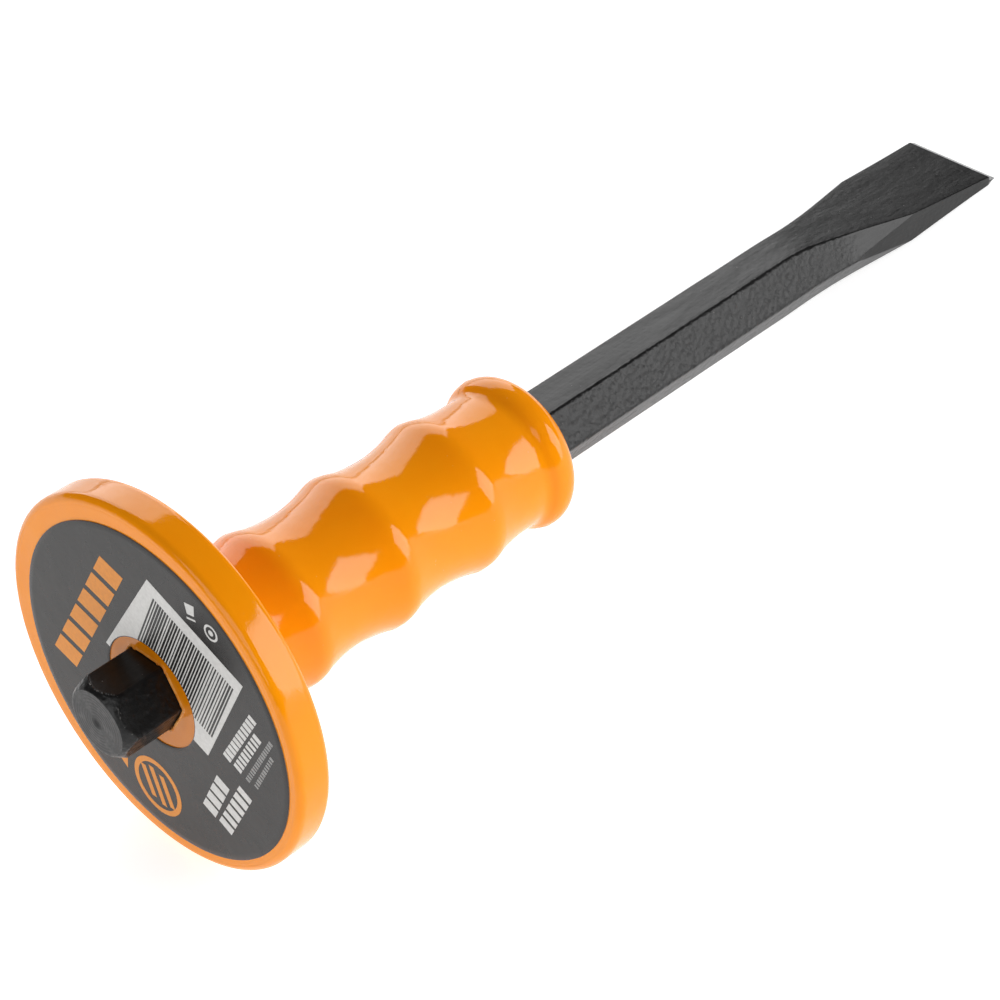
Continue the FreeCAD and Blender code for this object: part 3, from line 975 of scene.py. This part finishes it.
blackPaint = makeBlackPaint()
struckEnd = makeStruckEnd()
groundSteel = makeGroundSteel()
orangeVinyl = makeOrangeVinyl()
labelFilm = makeLabelFilm()
markInk = makeInk("markInk", tint(0.78, 0.27, 0.012), tint(0.7, 0.235, 0.009), 0.32)
paleInk = makeInk("paleInk", tint(0.7, 0.69, 0.67), tint(0.62, 0.61, 0.59), 0.36)
fineInk = makeInk("fineInk", tint(0.3, 0.295, 0.285), tint(0.25, 0.245, 0.24), 0.36)
barInk = makeInk("barInk", tint(0.022, 0.02, 0.019), tint(0.015, 0.014, 0.013), 0.34)
benchTop = makeBenchTop()
print("finishes made:", len(bpy.data.materials))

chisel = makeChisel(chiselSizes)
print("chisel:", len(chisel.data.polygons), "faces")

guard = makeGuard(guardSizes)
print("hand guard:", len(guard.data.polygons), "faces")

label = makeLabel(labelSizes)
printPieces = makePrint()
print("label:", len(printPieces), "printed pieces")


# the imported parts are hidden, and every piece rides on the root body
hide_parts("chisel")
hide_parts("hand_guard")
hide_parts("face_label")
for piece in [chisel, guard, label] + printPieces:
    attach(piece, "root")


studio = {
    "benchHalf": 3.0,
    "world": 0.06,
    "lens": 106.97,
    "cameraPlace": (-0.34157, -0.39541, 0.51635),
    "cameraForward": (0.44255, 0.55726, -0.70258),
    "cameraUp": (0.58557, 0.4138, 0.69705),
    # each lamp: azimuth and height as seen from the tool, distance, width, height, lean, brightness
    "lamps": {
        "keySoftbox": (35.0, 18.0, 1.15, 0.74, 0.8, 13.0, 5.6),
        "backSoftbox": (150.0, 24.0, 1.3, 1.3, 1.05, 0.0, 3.2),
        "leftFill": (-75.0, 30.0, 1.4, 1.3, 1.0, 0.0, 2.2),
    },
    "aim": (0.0, 0.0, 0.04),
}


def addLamp(name, azimuth, height, distance, width, tall, lean, brightness):
    turn, rise = math.radians(azimuth), math.radians(height)
    towards = Vector((math.sin(turn) * math.cos(rise), -math.cos(turn) * math.cos(rise), math.sin(rise)))
    lamp = bpy.data.lights.new(name, "AREA")
    lamp.shape = "RECTANGLE"
    lamp.size, lamp.size_y = width, tall
    lamp.energy = brightness * math.pi * width * tall
    lampObject = bpy.data.objects.new(name, lamp)
    lampObject.location = Vector(studio["aim"]) + towards * distance
    facing = towards.to_track_quat("Z", "Y").to_matrix() @ Matrix.Rotation(math.radians(lean), 3, "Z")
    lampObject.rotation_euler = facing.to_euler()
    bpy.context.scene.collection.objects.link(lampObject)


for name, facts in studio["lamps"].items():
    addLamp(name, *facts)

world = bpy.data.worlds.new("softRoom")
bpy.context.scene.world = world
world.use_nodes = True
world.node_tree.nodes["Background"].inputs["Color"].default_value = (1.0, 1.0, 1.0, 1.0)
world.node_tree.nodes["Background"].inputs["Strength"].default_value = studio["world"]

half = studio["benchHalf"]
floorMesh = bpy.data.meshes.new("bench")
benchCorners = [(-half, -half, 0.0), (half, -half, 0.0), (half, half, 0.0), (-half, half, 0.0)]
floorMesh.from_pydata(benchCorners, [], [(0, 1, 2, 3)])
floorMesh.materials.append(benchTop)
linkPiece("bench", floorMesh)

camera = bpy.data.cameras.new("camera")
camera.lens = studio["lens"]
camera.sensor_width = 36.0
camera.clip_start, camera.clip_end = 0.01, 20.0
cameraObject = bpy.data.objects.new("camera", camera)
forward, up = Vector(studio["cameraForward"]).normalized(), Vector(studio["cameraUp"]).normalized()
right = forward.cross(up).normalized()
up = right.cross(forward)
facing = Matrix((right, up, -forward)).transposed().to_4x4()
cameraObject.matrix_world = Matrix.Translation(studio["cameraPlace"]) @ facing
bpy.context.scene.collection.objects.link(cameraObject)
bpy.context.scene.camera = cameraObject
bpy.context.scene.view_settings.view_transform = "Standard"
print("studio set")
